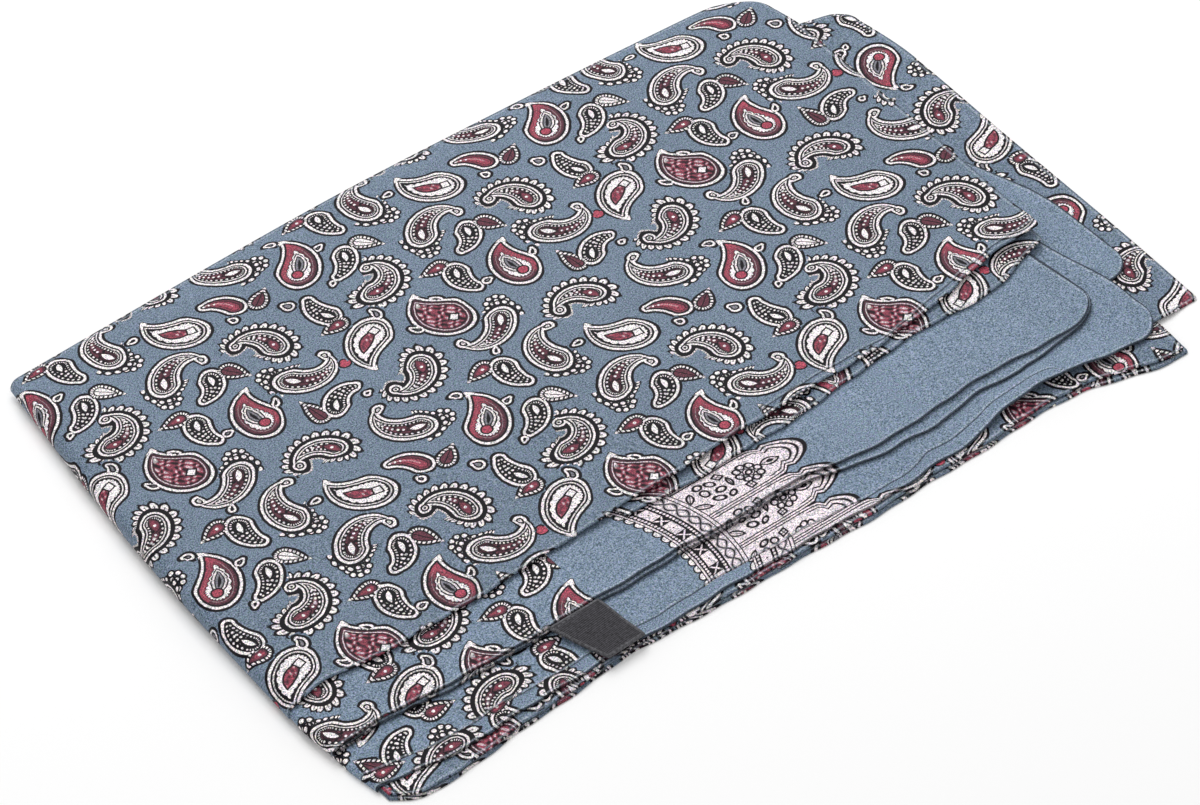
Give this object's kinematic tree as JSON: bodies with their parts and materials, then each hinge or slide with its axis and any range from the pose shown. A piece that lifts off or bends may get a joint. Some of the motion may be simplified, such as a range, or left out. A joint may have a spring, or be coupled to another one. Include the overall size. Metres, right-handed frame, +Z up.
{
  "type": "silk scarf",
  "caption": "Two-ply silk scarf with rounded ends and a bordered paisley print, folded into a flat stepped stack of soft layers.",
  "frame": {"origin": "middle of the footprint, on the surface that the scarf lies on", "axes": "+X along the long side towards the rounded ends, +Y to the back, +Z up"},
  "size_m": [0.4556, 0.3426, 0.0123],
  "materials": {
    "printed_silk": "soft satin silk twill with a small dark, white and red paisley print",
    "plain_silk": "soft satin silk, plain slate blue at the rounded end, with a white figured border and paisley further in",
    "inner_silk": "the same silk, folded out of sight",
    "label_satin": "black woven satin, no lettering"
  },
  "bodies": {
    "root": {"base_panel": "printed_silk", "front_fold": "printed_silk", "back_panel": "printed_silk", "rear_flap": "plain_silk", "outer_flap": "plain_silk", "inner_flap_lower": "plain_silk", "inner_flap_upper": "plain_silk", "front_return": "printed_silk", "top_panel": "printed_silk", "care_label": "label_satin", "hidden_core": "inner_silk"}
  },
  "joints": []
}
